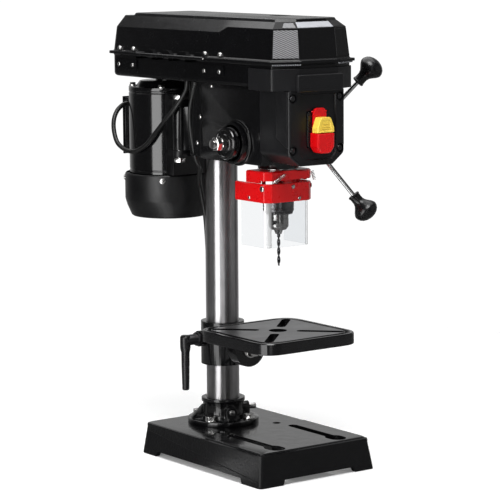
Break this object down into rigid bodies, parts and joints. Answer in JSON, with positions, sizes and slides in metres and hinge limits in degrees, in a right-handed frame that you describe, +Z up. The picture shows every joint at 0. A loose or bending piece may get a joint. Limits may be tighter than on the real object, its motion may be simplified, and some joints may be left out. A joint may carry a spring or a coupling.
{
  "type": "bench drill press",
  "caption": "Small bench drill press: slotted base, round column, tilting table, belt-driven head with rear motor, feed handles and a clear chuck guard.",
  "frame": {"origin": "midway between the two bench bolt holes, at the underside of the base", "axes": "+Z up along the column; the operator stands at -Y; +X is the operator's right, the feed handle side"},
  "size_m": [0.2522, 0.428, 0.615],
  "materials": {
    "cast_black": "gloss black enamel over cast iron",
    "black_paint": "gloss black paint",
    "lid_black": "satin black paint",
    "plastic_charcoal": "fine-grained charcoal plastic",
    "panel_grey": "textured grey",
    "column_steel": "bright drawn steel",
    "bright_steel": "bright zinc and ground steel",
    "dark_steel": "black oxide steel",
    "machined_iron": "ground iron",
    "pulley_alloy": "cast aluminium",
    "red_plastic": "gloss red",
    "yellow_plastic": "gloss yellow",
    "clear_shield": "clear polycarbonate",
    "black_plastic": "gloss black phenolic",
    "black_rubber": "satin black"
  },
  "bodies": {
    "frame": {"base": "cast_black", "column_flange": "cast_black", "flange_bolts": "bright_steel", "set_screws": "bright_steel", "column": "column_steel", "head": "cast_black", "quill_ring": "bright_steel", "spring_housing": "black_paint", "return_spring": "dark_steel", "pulley_bearing": "bright_steel", "pan": "lid_black", "pan_trim": "plastic_charcoal", "pan_hinge": "lid_black", "fascia": "plastic_charcoal", "fascia_screws": "dark_steel", "switch_body": "black_plastic", "drive_belt": "black_rubber", "pivot_bolt": "bright_steel", "cord_bushing": "black_rubber", "motor_lead": "black_rubber", "mains_cord": "black_rubber", "cord_coil": "black_rubber", "plug": "black_rubber"},
    "bracket": {"table_bracket": "cast_black"},
    "lever": {"clamp_screw": "dark_steel", "clamp_lever": "black_plastic"},
    "table": {"table": "cast_black", "tilt_bolt": "bright_steel"},
    "feed": {"pinion_shaft": "bright_steel", "feed_hub": "black_plastic", "feed_rods": "bright_steel", "feed_knobs": "black_plastic", "jam_nuts": "bright_steel"},
    "quill": {"quill": "bright_steel", "quill_bearings": "bright_steel", "guard_collar": "red_plastic", "guard_springs": "bright_steel"},
    "guard": {"guard_band": "red_plastic", "guard_shield": "clear_shield", "guard_screws": "bright_steel"},
    "spindle": {"spindle": "bright_steel", "chuck_body": "bright_steel", "chuck_sleeve": "dark_steel", "chuck_jaws": "bright_steel", "drill_bit": "dark_steel"},
    "pulley": {"spindle_pulley": "pulley_alloy"},
    "motor": {"motor_mount": "black_paint", "motor_shell": "black_paint", "motor_end_bell": "black_paint", "fan_cowl": "black_paint", "terminal_box": "black_paint", "motor_screws": "bright_steel"},
    "rotor": {"motor_shaft": "bright_steel", "motor_pulley": "pulley_alloy", "motor_fan": "black_plastic"},
    "lid": {"lid": "lid_black", "lid_panels": "panel_grey", "lid_hinge": "lid_black"},
    "paddle": {"switch_paddle": "red_plastic"},
    "key": {"safety_key": "yellow_plastic"}
  },
  "joints": [
    {"name": "table_height", "type": "slide", "parent": "frame", "child": "bracket", "axis": [0, 0, 1], "range_m": [-0.038, 0.02]},
    {"name": "bracket_lock", "type": "hinge", "parent": "bracket", "child": "lever", "pos_m": [0, 0.06, 0.165], "axis": [1, 0, 0], "range_deg": [-20, 60]},
    {"name": "table_tilt", "type": "hinge", "parent": "bracket", "child": "table", "pos_m": [0, 0, 0.155], "axis": [0, 1, 0], "range_deg": [-45, 45]},
    {"name": "quill_feed", "type": "slide", "parent": "frame", "child": "quill", "axis": [0, 0, -1], "range_m": [0, 0.05], "stiffness_N_per_m": 250, "springref_m": -0.16},
    {"name": "feed_turn", "type": "hinge", "parent": "frame", "child": "feed", "pos_m": [0, -0.039, 0.447], "axis": [1, 0, 0], "range_deg": [0, 239]},
    {"name": "spindle_spin", "type": "hinge", "parent": "quill", "child": "spindle", "pos_m": [0, -0.072, 0.4], "axis": [0, 0, 1], "continuous": true},
    {"name": "pulley_spin", "type": "hinge", "parent": "frame", "child": "pulley", "pos_m": [0, -0.072, 0.513], "axis": [0, 0, 1], "continuous": true},
    {"name": "motor_spin", "type": "hinge", "parent": "motor", "child": "rotor", "pos_m": [0, 0.188, 0.45], "axis": [0, 0, 1], "continuous": true},
    {"name": "motor_swing", "type": "hinge", "parent": "frame", "child": "motor", "pos_m": [-0.042, 0.1, 0.45], "axis": [0, 0, 1], "range_deg": [-5, 1.5], "deforming": ["drive_belt", "motor_lead"]},
    {"name": "lid_open", "type": "hinge", "parent": "frame", "child": "lid", "pos_m": [-0.0734, 0.07, 0.559], "axis": [0, -1, 0], "range_deg": [0, 100]},
    {"name": "guard_flip", "type": "hinge", "parent": "quill", "child": "guard", "pos_m": [0, -0.089, 0.388], "axis": [-1, 0, 0], "range_deg": [0, 90], "deforming": ["guard_springs"]},
    {"name": "switch_press", "type": "hinge", "parent": "frame", "child": "paddle", "pos_m": [0, -0.1585, 0.494], "axis": [-1, 0, 0], "range_deg": [0, 15], "stiffness_Nm_per_rad": 0.05, "springref_deg": -11.46},
    {"name": "key_pull", "type": "slide", "parent": "paddle", "child": "key", "axis": [0, -1, 0], "range_m": [0, 0.025]}
  ],
  "couplings": [
    {"joint": "feed_turn", "follows": "quill_feed", "rad_per_m": 83.333},
    {"joint": "pulley_spin", "follows": "spindle_spin", "ratio": 1},
    {"joint": "motor_spin", "follows": "spindle_spin", "ratio": 1}
  ]
}
